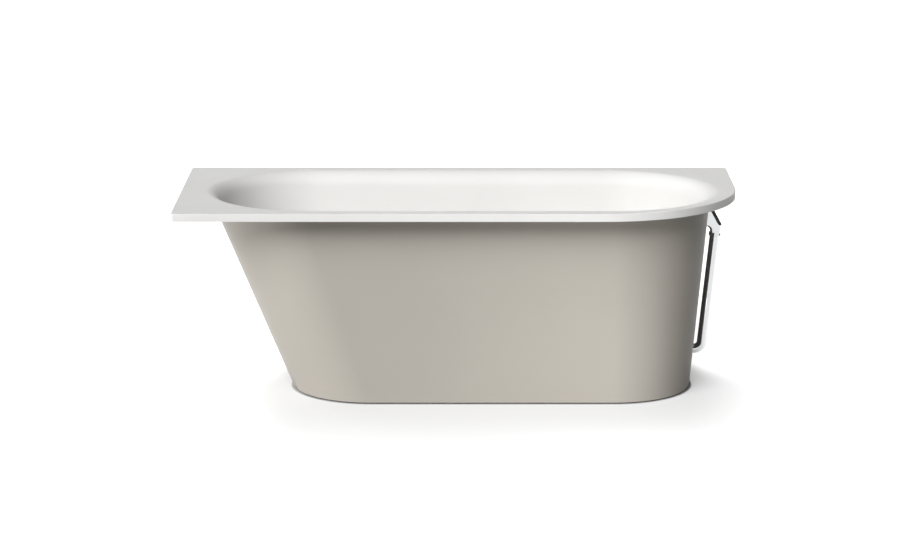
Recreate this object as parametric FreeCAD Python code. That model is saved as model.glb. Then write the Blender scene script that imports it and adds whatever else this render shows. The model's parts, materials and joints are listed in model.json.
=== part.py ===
import FreeCAD
import Part
import math
import os

from FreeCAD import Rotation, Vector

# Corner bath: a moulded shell on a leg frame, a skirt of apron panel round three sides,
# a waste with push plug, trap and overflow, and a chrome rail at the right end.
# Origin: centre of the footprint on the floor. +X runs to the right end, +Y to the back wall.

# Overall size
length = 1700.0
width = 750.0
height = 600.0

# Rim of the shell
shell_wall = 6.0
rim_corner_margin = 126.5
rim_edge_height = 24.0
rim_edge_round = 3.0
rim_small_corner_radius = 8.0

# Basin: the margins are where the walls, run on straight, meet the rim's top
basin_left_margin = 109.0
basin_right_margin = 95.0
basin_front_margin = 83.0
basin_back_margin = 84.0
basin_floor_height = 130.0
roll_radius = 52.0
floor_radius = 80.0
left_wall_angle = 23.7
right_wall_angle = 8.0
side_wall_angle = 6.8

# Apron panel
apron_wall = 4.0
apron_floor_gap = 3.0
apron_top_drop = 38.0
apron_left_gap = 16.0
apron_right_gap = 6.7
apron_front_gap = 2.0
apron_back_gap = 5.0
apron_left_spread_angle = 0.35
apron_right_angle = 5.75
apron_front_angle = 0.6
apron_foot_radius = 245.0
apron_flange_width = 24.0

# Bonded spacers between shell and apron
pad_width = 60.0
pad_height = 30.0
pad_top_drop = 8.0
pad_front_shares = (-0.5, 0.0, 0.5)

# Board under the basin and the two leg bars
board_thickness = 16.0
board_edge_gap = 8.0
board_cutout_radius = 55.0
bar_width = 40.0
bar_height = 30.0
bar_wall = 2.5
bar_flange_width = 18.0
bar_back_gap = 135.0
bar_board_margin = 100.0
bar_screw_radius = 2.5
bar_screw_length = 12.0
bar_screw_head_radius = 5.0
bar_screw_head_height = 3.0
bar_screw_spacing = 180.0

# Levelling feet
foot_inset = 45.0
foot_flange_gap = 4.0
spindle_radius = 6.0
spindle_top_reach = 14.0
spindle_hex_width = 17.0
spindle_hex_height = 7.0
spindle_hex_gap = 4.0
foot_pad_radius = 25.0
foot_pad_height = 14.0
foot_pad_sole = 4.0
foot_pad_neck_radius = 11.0
foot_pad_edge = 5.0
lock_nut_width = 19.0
lock_nut_height = 10.0
thread_clearance = 0.06

# Brackets that hold the apron's foot to the board
bracket_wall = 3.0
bracket_width = 36.0
bracket_board_overlap = 32.0
bracket_foot_depth = 16.0
bracket_riser_gap = 3.0
bracket_spacing = 440.0
bracket_screw_radius = 2.5
bracket_screw_depth = 12.0
bracket_screw_head_radius = 5.0
bracket_screw_head_height = 3.0

# Waste in the basin floor
waste_hole_radius = 26.0
waste_flange_radius = 35.0
waste_flange_height = 2.5
waste_flange_lip = 1.0
waste_seat_radius = 26.0
waste_throat_radius = 22.0
waste_throat_wall = 2.0
waste_throat_length = 14.0
gasket_thickness = 3.0
waste_body_flange_radius = 42.0
waste_body_flange_height = 4.0
waste_body_radius = 31.0
waste_body_wall = 4.0
waste_body_depth = 30.0
dip_tube_radius = 22.0
dip_tube_wall = 2.0
guide_radius = 8.0
guide_height = 10.0
guide_arm_width = 4.0
guide_arm_count = 3
port_radius = 10.0
port_wall = 2.0
port_drop = 18.5
port_reach = 64.0

# Push plug, stored open
plug_travel = 9.0
plug_cap_radius = 30.0
plug_cap_height = 6.0
plug_cap_edge = 2.5
plug_seal_wall = 6.0
plug_seal_height = 6.0
plug_seal_clearance = 0.3
plug_stem_radius = 4.0
plug_stem_tail = 14.0
plug_latch_radius = 7.0
plug_latch_height = 20.0

# Trap under the waste
trap_ground_gap = 6.0
trap_radius = 50.0
trap_wall = 3.0
trap_nut_radius = 33.0
trap_nut_height = 12.0
trap_nut_notch_radius = 3.0
trap_nut_notch_count = 12
trap_dip_gap = 6.0
outlet_radius = 20.0
outlet_wall = 2.0
outlet_top_gap = 2.0
outlet_length = 130.0
outlet_stop_radius = 23.0
outlet_stop_width = 5.0
outlet_stop_gap = 8.0

# Overflow in the back wall
overflow_above_floor = 290.0
overflow_hole_radius = 26.0
overflow_cover_radius = 35.0
overflow_cover_wall = 3.0
overflow_cover_depth = 14.0
overflow_cover_gap = 1.5
overflow_cover_round = 2.0
overflow_inlet_width = 40.0
overflow_inlet_height = 7.0
overflow_ring_radius = 30.0
overflow_ring_height = 3.0
overflow_throat_radius = 22.0
overflow_throat_wall = 2.0
overflow_throat_length = 18.0
overflow_hub_radius = 7.0
overflow_arm_width = 5.0
overflow_body_flange_radius = 36.0
overflow_body_flange_height = 3.0
overflow_body_radius = 29.0
overflow_body_wall = 3.0
overflow_body_depth = 33.0
overflow_port_reach = 58.0

# Overflow pipe
pipe_radius = 13.0
pipe_grip = 16.0
pipe_wall_gap = 10.0
pipe_nut_radius = 16.5
pipe_nut_length = 14.0
fit_clearance = 0.05

# Chrome rail at the right end
rail_y = 125.0
rail_radius = 15.5
rail_wall = 1.5
rail_gap = 27.5
rail_foot_height = 71.0
rail_bend_radius = 24.0
rail_socket_depth = 30.0
rail_collar_wall = 3.5
rail_bracket_top_drop = 10.0
rail_bracket_height = 115.0
rail_bracket_shoulder = 36.5
rail_lean_angle = 34.0
rail_bracket_collar = 12.0
rail_bracket_neck_wall = 1.5
rail_bracket_arch_rise = 4.0
rail_bracket_bevel = 10.0
rail_bracket_edge_round = 2.0
grub_screw_radius = 2.5
grub_screw_length = 2.5
grub_screw_height = 7.0
grub_screw_angle = -40.0
rail_bolt_radius = 4.0
rail_bolt_depth = 12.0
rail_bolt_head_width = 13.0
rail_bolt_head_height = 5.5
rail_bolt_spacing = 28.0
rail_bolt_top_drop = 26.0
backing_plate_wall = 5.0
backing_plate_width = 40.0
backing_plate_margin = 14.0
end_washer_radius = 25.0
end_washer_wall = 3.0
end_plug_length = 20.0
end_bolt_radius = 5.0
end_bolt_depth = 16.0
end_bolt_head_width = 17.0
end_bolt_head_height = 6.5

# Cuts run this far past the faces that they open
overrun = 5.0

# Levels and places that follow from the sizes above
right_angle = 90.0
half_turn = 180.0
full_turn = 360.0
left_edge = -length / 2
right_edge = length / 2
front_edge = -width / 2
back_edge = width / 2
floor_top = basin_floor_height
floor_under = floor_top - shell_wall
board_bottom = floor_under - board_thickness
bar_bottom = board_bottom - bar_height
apron_top = height - apron_top_drop
rim_corner_radius = (width - basin_front_margin - basin_back_margin) / 2 + rim_corner_margin
up = Vector(0, 0, 1)


def slope(angle):
    return math.tan(math.radians(angle))


def round_start(radius, angle):
    """Distance from a sharp edge to the start of a round, where a wall leans by the angle."""
    return radius * math.tan(math.radians((right_angle - angle) / 2))


def line(start, end):
    return Part.LineSegment(start, end).toShape()


def arc(start, middle, end):
    return Part.Arc(start, middle, end).toShape()


def quarter(centre, radius, start_angle):
    """Quarter circle, counter-clockwise from the start angle, in the plane of its centre."""
    points = []
    for share in (0, 0.5, 1):
        turn = math.radians(start_angle + share * right_angle)
        points.append(centre + Vector(radius * math.cos(turn), radius * math.sin(turn), 0))
    return arc(*points)


def prism(wire, rise):
    return Part.Face(wire).extrude(Vector(0, 0, rise))


def block(low, high):
    size = high - low
    return Part.makeBox(size.x, size.y, size.z, low)


def cylinder(radius, low, high, x=0.0, y=0.0):
    return Part.makeCylinder(radius, high - low, Vector(x, y, low), up)


def ring(outer, inner, low, high, x=0.0, y=0.0):
    return cylinder(outer, low, high, x, y).cut(cylinder(inner, low - overrun, high + overrun, x, y))


def hexagon(across_flats, low, high, x=0.0, y=0.0):
    corner = across_flats / math.sqrt(3)
    points = []
    for step in range(7):
        turn = step * math.pi / 3
        points.append(Vector(x + corner * math.cos(turn), y + corner * math.sin(turn), low))
    return prism(Part.makePolygon(points), high - low)


def turned(profile):
    """Solid of revolution about Z from (radius, level) points."""
    points = [Vector(radius, 0, level) for radius, level in profile]
    points.append(points[0])
    face = Part.Face(Part.makePolygon(points))
    return face.revolve(Vector(0, 0, 0), up, full_turn)


def moved(shape, x, y, z):
    copy = shape.copy()
    copy.translate(Vector(x, y, z))
    return copy


def fused(shapes):
    return shapes[0].multiFuse(shapes[1:]).removeSplitter()


def is_level(edge, level):
    box = edge.BoundBox
    return abs(box.ZMin - level) < fit_clearance and abs(box.ZMax - level) < fit_clearance


# Basin

def basin_reach(level, offset, spread=0.0):
    """Left, right, front and back of the basin wall on a level, offset square to it, then spread."""
    fall = height - level
    left = left_edge + basin_left_margin + fall * slope(left_wall_angle)
    right = right_edge - basin_right_margin - fall * slope(right_wall_angle)
    front = front_edge + basin_front_margin + fall * slope(side_wall_angle)
    back = back_edge - basin_back_margin - fall * slope(side_wall_angle)
    left_out = offset / math.cos(math.radians(left_wall_angle)) + spread
    right_out = offset / math.cos(math.radians(right_wall_angle)) + spread
    side_out = offset / math.cos(math.radians(side_wall_angle)) + spread
    return left - left_out, right + right_out, front - side_out, back + side_out


def stadium(reach, level):
    """Closed outline with straight sides and half-round ends."""
    left, right, front, back = reach
    radius = (back - front) / 2
    middle = (back + front) / 2
    left_centre = Vector(left + radius, middle, level)
    right_centre = Vector(right - radius, middle, level)
    front_left = left_centre - Vector(0, radius, 0)
    front_right = right_centre - Vector(0, radius, 0)
    back_right = right_centre + Vector(0, radius, 0)
    back_left = left_centre + Vector(0, radius, 0)
    edges = [
        line(front_left, front_right),
        quarter(right_centre, radius, -right_angle),
        quarter(right_centre, radius, 0),
        line(back_right, back_left),
        quarter(left_centre, radius, right_angle),
        quarter(left_centre, radius, half_turn),
    ]
    return Part.Wire(edges)


def is_over_basin(edge):
    """True for an edge whose middle lies over the basin or its roll."""
    left, right, front, back = basin_reach(height, 0.0, roll_radius)
    radius = (back - front) / 2
    middle = edge.valueAt((edge.FirstParameter + edge.LastParameter) / 2)
    along = min(max(middle.x, left + radius), right - radius)
    return math.hypot(middle.x - along, middle.y - (back + front) / 2) < radius


def basin_edges(shape, level):
    return [edge for edge in shape.Edges if is_level(edge, level) and is_over_basin(edge)]


def rim_edges(shape):
    return [edge for edge in shape.Edges if is_level(edge, height) and not is_over_basin(edge)]


def around_basin(body, offset):
    """A body with the basin sunk into it, its floor rounded and its mouth rolled over."""
    top = height - offset
    floor = floor_top - offset
    sections = [stadium(basin_reach(level, offset), level) for level in (top, floor)]
    solid = body.cut(Part.makeLoft(sections, True, True))
    solid = solid.makeFillet(floor_radius + offset, basin_edges(solid, floor))
    return solid.makeFillet(roll_radius - offset, basin_edges(solid, top))


def under_shell_space():
    """Everything round and below the shell, up to the underside of its rim."""
    low = Vector(left_edge - overrun, front_edge - overrun, floor_under - overrun)
    high = Vector(right_edge + overrun, back_edge + overrun, height - shell_wall)
    return around_basin(block(low, high), shell_wall)


def rim_outline(inset, level):
    left, right = left_edge + inset, right_edge - inset
    front, back = front_edge + inset, back_edge - inset
    radius = rim_corner_radius - inset
    centre = Vector(right - radius, front + radius, level)
    small = rim_small_corner_radius
    small_inset = max(small - inset, rim_edge_round)
    corners = [
        Vector(left + small_inset, front + small_inset, level),
        Vector(right - small_inset, back - small_inset, level),
        Vector(left + small_inset, back - small_inset, level),
    ]
    edges = [
        line(corners[0] - Vector(0, small_inset, 0), centre - Vector(0, radius, 0)),
        quarter(centre, radius, -right_angle),
        line(centre + Vector(radius, 0, 0), corners[1] + Vector(small_inset, 0, 0)),
        quarter(corners[1], small_inset, 0),
        line(corners[1] + Vector(0, small_inset, 0), corners[2] + Vector(0, small_inset, 0)),
        quarter(corners[2], small_inset, right_angle),
        line(corners[2] - Vector(small_inset, 0, 0), corners[0] - Vector(small_inset, 0, 0)),
        quarter(corners[0], small_inset, half_turn),
    ]
    return Part.Wire(edges)


def make_tub_shell(under_shell):
    edge_foot = height - rim_edge_height
    body = prism(rim_outline(0.0, floor_under), height - floor_under)
    skin = around_basin(body, 0.0).cut(under_shell)
    edge = prism(rim_outline(0.0, edge_foot), rim_edge_height - shell_wall)
    edge = edge.cut(prism(rim_outline(shell_wall, edge_foot - overrun), rim_edge_height + overrun))
    shell = skin.fuse(edge).removeSplitter()
    shell = shell.makeFillet(rim_edge_round, rim_edges(shell))
    waste_hole = cylinder(waste_hole_radius, floor_under - overrun, floor_top + overrun, waste_x, basin_y)
    shell = shell.cut(waste_hole)
    return shell.cut(in_overflow(cylinder(overflow_hole_radius, -shell_wall - overrun, overrun)))


# Places that follow from the basin

floor_reach = basin_reach(floor_top, 0.0)
waste_x = (floor_reach[0] + floor_reach[1]) / 2
basin_y = (floor_reach[2] + floor_reach[3]) / 2
overflow_level = floor_top + overflow_above_floor
overflow_y = basin_reach(overflow_level, 0.0)[3]


def in_overflow(shape):
    """Puts a shape on the back wall: its +Z points into the basin and its +Y up the wall."""
    copy = shape.copy()
    turn = Rotation(Vector(1, 0, 0), right_angle - side_wall_angle)
    copy.Placement = FreeCAD.Placement(Vector(waste_x, overflow_y, overflow_level), turn)
    return copy


def flat_floor(level):
    """Flat stretch of the shell's underside, inside its rounds, drawn in by the board's gap."""
    left, right, front, back = basin_reach(floor_under, shell_wall)
    radius = floor_radius + shell_wall
    left += round_start(radius, left_wall_angle) + board_edge_gap
    right -= round_start(radius, right_wall_angle) + board_edge_gap
    front += round_start(radius, side_wall_angle) + board_edge_gap
    back -= round_start(radius, side_wall_angle) + board_edge_gap
    return stadium((left, right, front, back), level)


# Apron panel

def apron_margin(basin_margin, wall_angle, gap):
    """Margin of the apron's top, so that it clears the underside of the rolled rim."""
    roll_centre = basin_margin - round_start(roll_radius, wall_angle)
    rise = apron_top - (height - roll_radius)
    under = math.sqrt((roll_radius - shell_wall) ** 2 - rise ** 2)
    return roll_centre + under - gap - apron_wall


apron_left_angle = left_wall_angle - apron_left_spread_angle
apron_left_margin = apron_margin(basin_left_margin, left_wall_angle, apron_left_gap)
apron_right_margin = apron_margin(basin_right_margin, right_wall_angle, apron_right_gap)
apron_front_margin = apron_margin(basin_front_margin, side_wall_angle, apron_front_gap)
apron_back_margin = apron_margin(basin_back_margin, side_wall_angle, apron_front_gap)
apron_top_radius = (width - apron_front_margin - apron_back_margin) / 2


def apron_reach(level, inset):
    """Left, right, front and corner radius of the apron on a level, drawn in square to its faces."""
    fall = apron_top - level
    share = fall / (apron_top - apron_floor_gap)
    radius = apron_top_radius + share * (apron_foot_radius - apron_top_radius) - inset
    left_in = inset / math.cos(math.radians(apron_left_angle))
    right_in = inset / math.cos(math.radians(apron_right_angle))
    front_in = inset / math.cos(math.radians(apron_front_angle))
    left = left_edge + apron_left_margin + fall * slope(apron_left_angle) + left_in
    right = right_edge - apron_right_margin - fall * slope(apron_right_angle) - right_in
    front = front_edge + apron_front_margin + fall * slope(apron_front_angle) + front_in
    return left, right, front, radius


def apron_section(level, inset, back):
    """Outline of the apron on a level, closed at the back."""
    left, right, front, radius = apron_reach(level, inset)
    left_centre = Vector(left + radius, front + radius, level)
    right_centre = Vector(right - radius, front + radius, level)
    edges = [
        line(Vector(left, back, level), left_centre - Vector(radius, 0, 0)),
        quarter(left_centre, radius, half_turn),
        line(left_centre - Vector(0, radius, 0), right_centre - Vector(0, radius, 0)),
        quarter(right_centre, radius, -right_angle),
        line(right_centre + Vector(radius, 0, 0), Vector(right, back, level)),
        line(Vector(right, back, level), Vector(left, back, level)),
    ]
    return Part.Wire(edges)


def apron_solid(bottom, top, inset, back):
    sections = [apron_section(level, inset, back) for level in (bottom, top)]
    return Part.makeLoft(sections, True, True)


def apron_inside():
    return apron_solid(flange_top, apron_top + overrun, apron_wall, back_edge + overrun)


def make_apron_panel(inside):
    panel = apron_solid(apron_floor_gap, apron_top, 0.0, back_edge - apron_back_gap)
    flange_inset = apron_wall + apron_flange_width
    mouth = apron_solid(apron_floor_gap - overrun, flange_top + overrun, flange_inset, back_edge + overrun)
    panel = panel.cut(inside).cut(mouth)
    inner = -apron_wall - overrun
    panel = panel.cut(on_rail(across(rail_radius + fit_clearance, inner, overrun, rail_foot)))
    for level in rail_bolt_levels:
        panel = panel.cut(on_rail(across(rail_bolt_radius + fit_clearance, inner, overrun, level)))
    for x in bracket_places:
        low = apron_floor_gap - overrun
        hole = cylinder(bracket_screw_radius + fit_clearance, low, flange_top + overrun, x, bracket_foot_y)
        panel = panel.cut(hole)
    return panel


def make_apron_pads(inside, under_shell):
    """Spacers cut to the space between the apron's inside and the shell's outside."""
    top = apron_top - pad_top_drop
    half = pad_width / 2
    boxes = []
    for share in pad_front_shares:
        x = share * length / 2
        low = Vector(x - half, front_edge, top - pad_height)
        boxes.append(block(low, Vector(x + half, basin_y, top)))
    for left, right in ((left_edge, waste_x), (waste_x, right_edge)):
        low = Vector(left, basin_y - half, top - pad_height)
        boxes.append(block(low, Vector(right, basin_y + half, top)))
    space = inside.common(under_shell)
    return Part.makeCompound([box.common(space).Solids[0] for box in boxes])


# Frame under the basin

def bar_places():
    box = flat_floor(floor_under).BoundBox
    return box.XMin + bar_board_margin, box.XMax - bar_board_margin


def foot_front(bar_x):
    """Front-most place for a foot on a bar that keeps its pad clear of the apron's flange."""
    left, right, front, radius = apron_reach(apron_floor_gap, apron_wall + apron_flange_width)
    room = radius - foot_pad_radius - foot_flange_gap
    past_corner = bar_x - min(max(bar_x, left + radius), right - radius)
    return front + radius - math.sqrt(room ** 2 - past_corner ** 2)


bar_back = back_edge - bar_back_gap
foot_places = (max(foot_front(bar_x) for bar_x in bar_places()), bar_back - foot_inset)
bar_front = foot_places[0] - foot_inset


def bar_screw_spots(bar_x):
    """Places of the screws through a bar's two flanges."""
    reach = (bar_width + bar_flange_width) / 2
    spots = []
    for x in (bar_x - reach, bar_x + reach):
        for y in (basin_y - bar_screw_spacing / 2, basin_y + bar_screw_spacing / 2):
            spots.append((x, y))
    return spots


def make_base_board():
    board = prism(flat_floor(board_bottom), board_thickness)
    low = board_bottom - overrun
    high = floor_under + overrun
    board = board.cut(cylinder(board_cutout_radius, low, high, waste_x, basin_y))
    slot_low = Vector(waste_x - board_cutout_radius, basin_y, low)
    slot_high = Vector(waste_x + board_cutout_radius, back_edge, high)
    board = board.cut(block(slot_low, slot_high))
    for bar_x in bar_places():
        for x, y in bar_screw_spots(bar_x):
            end = board_bottom + bar_screw_length
            board = board.cut(cylinder(bar_screw_radius + fit_clearance, low, end, x, y))
    for x in bracket_places:
        end = board_bottom + bracket_screw_depth
        board = board.cut(cylinder(bracket_screw_radius + fit_clearance, low, end, x, bracket_board_y))
    return board


def make_leg_bar(x):
    """Hat section: web at the bottom, walls up to flanges that lie under the board."""
    half = bar_width / 2
    wing = half + bar_flange_width
    inner = half - bar_wall
    bar = block(Vector(x - wing, bar_front, bar_bottom), Vector(x + wing, bar_back, board_bottom))
    past = Vector(0, overrun, 0)
    groove_low = Vector(x - inner, bar_front, bar_bottom + bar_wall) - past
    groove_high = Vector(x + inner, bar_back, board_bottom + overrun) + past
    bar = bar.cut(block(groove_low, groove_high))
    for near, far in ((-wing - overrun, -half), (half, wing + overrun)):
        side_low = Vector(x + near, bar_front, bar_bottom - overrun) - past
        side_high = Vector(x + far, bar_back, board_bottom - bar_wall) + past
        bar = bar.cut(block(side_low, side_high))
    for y in foot_places:
        hole = cylinder(spindle_radius + thread_clearance, bar_bottom - overrun, board_bottom, x, y)
        bar = bar.cut(hole)
    for hole_x, y in bar_screw_spots(x):
        low = board_bottom - bar_wall - overrun
        bar = bar.cut(cylinder(bar_screw_radius + fit_clearance, low, board_bottom + overrun, hole_x, y))
    return bar


def make_bar_screws():
    seat = board_bottom - bar_wall
    screws = []
    for bar_x in bar_places():
        for x, y in bar_screw_spots(bar_x):
            shank = cylinder(bar_screw_radius, seat, board_bottom + bar_screw_length, x, y)
            head = cylinder(bar_screw_head_radius, seat - bar_screw_head_height, seat, x, y)
            screws.append(shank.fuse(head).removeSplitter())
    return Part.makeCompound(screws)


def make_foot_pad(x, y):
    sole = foot_pad_sole
    profile = [
        (0, 0),
        (foot_pad_radius, 0),
        (foot_pad_radius, foot_pad_edge),
        (foot_pad_neck_radius, foot_pad_height),
        (spindle_radius + thread_clearance, foot_pad_height),
        (spindle_radius + thread_clearance, sole),
        (0, sole),
    ]
    return moved(turned(profile), x, y, 0)


def make_foot_spindle(x, y):
    top = board_bottom + spindle_top_reach
    rod = cylinder(spindle_radius, foot_pad_sole, top, x, y)
    collar_foot = foot_pad_height + spindle_hex_gap
    return rod.fuse(hexagon(spindle_hex_width, collar_foot, collar_foot + spindle_hex_height, x, y))


def make_lock_nuts():
    """One nut under and one nut over the web at each foot."""
    nuts = []
    for x in bar_places():
        for y in foot_places:
            for low in (bar_bottom - lock_nut_height, bar_bottom + bar_wall):
                high = low + lock_nut_height
                bore = cylinder(spindle_radius + thread_clearance, low - overrun, high + overrun, x, y)
                nuts.append(hexagon(lock_nut_width, low, high, x, y).cut(bore))
    return Part.makeCompound(nuts)


# Each bracket runs from the underside of the board's front edge down to the apron's flange
flange_top = apron_floor_gap + apron_wall
apron_foot_fall = (apron_top - apron_floor_gap) * slope(apron_front_angle)
flange_edge = front_edge + apron_front_margin + apron_foot_fall + apron_wall + apron_flange_width
bracket_riser = flange_edge - bracket_riser_gap - bracket_wall
bracket_foot_y = bracket_riser - bracket_foot_depth / 2
bracket_board_y = flat_floor(board_bottom).BoundBox.YMin + bracket_board_overlap / 2
bracket_places = (waste_x - bracket_spacing / 2, waste_x + bracket_spacing / 2)


def make_floor_brackets():
    """Bent strips: a tab under the board, a riser and a foot on the flange."""
    half = bracket_width / 2
    tab_low = board_bottom - bracket_wall
    tab_end = bracket_board_y + bracket_board_overlap / 2
    brackets = []
    for x in bracket_places:
        tab = block(Vector(x - half, bracket_riser, tab_low), Vector(x + half, tab_end, board_bottom))
        post_high = Vector(x + half, bracket_riser + bracket_wall, tab_low)
        post = block(Vector(x - half, bracket_riser, flange_top), post_high)
        foot_low = Vector(x - half, bracket_riser - bracket_foot_depth, flange_top)
        foot = block(foot_low, Vector(x + half, bracket_riser + bracket_wall, flange_top + bracket_wall))
        bracket = fused([tab, post, foot])
        hole_radius = bracket_screw_radius + fit_clearance
        bracket = bracket.cut(cylinder(hole_radius, tab_low - overrun, floor_under, x, bracket_board_y))
        foot_high = flange_top + bracket_wall + overrun
        bracket = bracket.cut(cylinder(hole_radius, 0, foot_high, x, bracket_foot_y))
        brackets.append(bracket)
    return Part.makeCompound(brackets)


def make_bracket_screws():
    """Screws up into the board and down through the flange."""
    screws = []
    for x in bracket_places:
        seat = board_bottom - bracket_wall
        shank = cylinder(bracket_screw_radius, seat, board_bottom + bracket_screw_depth, x, bracket_board_y)
        low = seat - bracket_screw_head_height
        head = cylinder(bracket_screw_head_radius, low, seat, x, bracket_board_y)
        screws.append(shank.fuse(head).removeSplitter())
        seat = flange_top + bracket_wall
        shank = cylinder(bracket_screw_radius, apron_floor_gap, seat, x, bracket_foot_y)
        high = seat + bracket_screw_head_height
        head = cylinder(bracket_screw_head_radius, seat, high, x, bracket_foot_y)
        screws.append(shank.fuse(head).removeSplitter())
    return Part.makeCompound(screws)


# Waste, plug and trap, all on one upright axis

waste_body_top = floor_under - gasket_thickness
waste_body_bottom = waste_body_top - waste_body_depth
trap_top = waste_body_bottom - trap_nut_height
port_level = floor_under - port_drop


def make_waste_flange():
    """Dish on the basin floor with a throat that screws into the waste body."""
    profile = [
        (waste_throat_radius + waste_throat_wall, floor_top),
        (waste_flange_radius, floor_top),
        (waste_flange_radius, floor_top + waste_flange_lip),
        (waste_flange_radius - waste_flange_lip, floor_top + waste_flange_height),
        (waste_seat_radius, floor_top + waste_flange_lip),
        (waste_throat_radius, floor_top),
        (waste_throat_radius, floor_top - waste_throat_length),
        (waste_throat_radius + waste_throat_wall, floor_top - waste_throat_length),
    ]
    return moved(turned(profile), waste_x, basin_y, 0)


def make_waste_gasket():
    return ring(waste_body_flange_radius, waste_hole_radius, waste_body_top, floor_under, waste_x, basin_y)


def make_waste_body():
    neck = waste_throat_radius + waste_throat_wall + fit_clearance
    neck_foot = floor_top - waste_throat_length - fit_clearance
    cup = waste_body_radius - waste_body_wall
    bore = dip_tube_radius - dip_tube_wall
    dip_foot = trap_ground_gap + trap_wall + trap_dip_gap
    profile = [
        (neck, waste_body_top),
        (waste_body_flange_radius, waste_body_top),
        (waste_body_flange_radius, waste_body_top - waste_body_flange_height),
        (waste_body_radius, waste_body_top - waste_body_flange_height),
        (waste_body_radius, waste_body_bottom),
        (dip_tube_radius, waste_body_bottom),
        (dip_tube_radius, dip_foot),
        (bore, dip_foot),
        (bore, waste_body_bottom + waste_body_wall),
        (cup, waste_body_bottom + waste_body_wall),
        (cup, neck_foot),
        (neck, neck_foot),
    ]
    body = turned(profile)
    body = body.fuse(upright_port(port_radius, cup, port_reach))
    body = body.cut(upright_port(port_radius - port_wall, 0, port_reach + overrun))
    guide_low = waste_body_bottom + waste_body_wall
    arms = [cylinder(guide_radius, guide_low, guide_low + guide_height)]
    for count in range(guide_arm_count):
        half = guide_arm_width / 2
        reach = bore + dip_tube_wall
        arm = block(Vector(0, -half, guide_low), Vector(reach, half, guide_low + guide_arm_width))
        arm.rotate(Vector(0, 0, 0), up, -right_angle + count * full_turn / guide_arm_count)
        arms.append(arm)
    body = fused([body] + arms)
    stem_bore = plug_stem_radius + fit_clearance
    body = body.cut(cylinder(stem_bore, guide_low - overrun, guide_low + guide_height + overrun))
    return moved(body, waste_x, basin_y, 0)


def upright_port(radius, start, end):
    """Round bar along +Y at the level of the overflow's inlet."""
    return Part.makeCylinder(radius, end - start, Vector(0, start, port_level), Vector(0, 1, 0))


plug_underside = floor_top + waste_flange_height + plug_travel + plug_seal_clearance


def make_plug_cap():
    """Low dome."""
    edge_top = plug_underside + plug_cap_edge
    crown = plug_underside + plug_cap_height
    foot = Vector(plug_cap_radius, 0, plug_underside)
    edge = Vector(plug_cap_radius, 0, edge_top)
    top = Vector(0, 0, crown)
    rise = crown - edge_top
    dome_radius = (plug_cap_radius ** 2 + rise ** 2) / (2 * rise)
    half_angle = math.asin(plug_cap_radius / dome_radius) / 2
    sink = dome_radius * (1 - math.cos(half_angle))
    middle = Vector(dome_radius * math.sin(half_angle), 0, crown - sink)
    centre = Vector(0, 0, plug_underside)
    edges = [line(centre, foot), line(foot, edge), arc(edge, middle, top), line(top, centre)]
    cap = Part.Face(Part.Wire(edges)).revolve(Vector(0, 0, 0), up, full_turn)
    return moved(cap, waste_x, basin_y, 0)


def make_plug_seal():
    outer = waste_throat_radius - plug_seal_clearance
    low = plug_underside - plug_seal_height
    return ring(outer, outer - plug_seal_wall, low, plug_underside, waste_x, basin_y)


def make_plug_latch():
    """Sleeve on the guide that holds the stem up or down."""
    low = waste_body_bottom + waste_body_wall + guide_height
    bore = plug_stem_radius + fit_clearance
    return ring(plug_latch_radius, bore, low, low + plug_latch_height, waste_x, basin_y)


def make_plug_stem():
    low = waste_body_bottom + waste_body_wall - plug_stem_tail
    return cylinder(plug_stem_radius, low, plug_underside, waste_x, basin_y)


def make_trap_nut():
    nut = ring(trap_nut_radius, dip_tube_radius + fit_clearance, trap_top, waste_body_bottom)
    for count in range(trap_nut_notch_count):
        turn = 2 * math.pi * count / trap_nut_notch_count
        x = trap_nut_radius * math.cos(turn)
        y = trap_nut_radius * math.sin(turn)
        notch = cylinder(trap_nut_notch_radius, trap_top - overrun, waste_body_bottom + overrun, x, y)
        nut = nut.cut(notch)
    return moved(nut, waste_x, basin_y, 0)


def make_trap_body():
    """Low cup round the dip tube, its outlet to the back near its top, with a stop bead for the pipe."""
    cup = cylinder(trap_radius, trap_ground_gap, trap_top)
    level = trap_top - trap_wall - outlet_top_gap - outlet_radius + outlet_wall
    start = Vector(0, 0, level)
    to_back = Vector(0, 1, 0)
    outlet = Part.makeCylinder(outlet_radius, outlet_length, start, to_back)
    bore = Part.makeCylinder(outlet_radius - outlet_wall, outlet_length + overrun, start, to_back)
    stop_start = Vector(0, trap_radius + outlet_stop_gap, level)
    stop = Part.makeCylinder(outlet_stop_radius, outlet_stop_width, stop_start, to_back)
    hollow = cylinder(trap_radius - trap_wall, trap_ground_gap + trap_wall, trap_top - trap_wall)
    mouth = cylinder(dip_tube_radius + fit_clearance, trap_top - trap_wall - overrun, trap_top + overrun)
    body = fused([cup, outlet, stop]).cut(hollow).cut(bore).cut(mouth)
    return moved(body, waste_x, basin_y, 0)


# Overflow, on the axis of its hole in the back wall

overflow_body_face = -shell_wall - gasket_thickness
overflow_port_depth = overflow_body_face - overflow_body_depth / 2


def make_overflow_cover():
    """Shallow cap with a water inlet at its foot, on the hub of the ring."""
    face = overflow_cover_depth
    cap = cylinder(overflow_cover_radius, overflow_cover_gap, face)
    face_edges = [edge for edge in cap.Edges if edge.BoundBox.ZMin > face - fit_clearance]
    cap = cap.makeFillet(overflow_cover_round, face_edges)
    cap = cap.cut(cylinder(overflow_cover_radius - overflow_cover_wall, 0, face - overflow_cover_wall))
    half = overflow_inlet_width / 2
    inlet = block(Vector(-half, -overflow_cover_radius - overrun, 0), Vector(half, 0, overflow_inlet_height))
    cap = cap.cut(inlet)
    cap = cap.fuse(cylinder(overflow_hub_radius, overflow_ring_height, face - overflow_cover_wall))
    return in_overflow(cap.removeSplitter())


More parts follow.
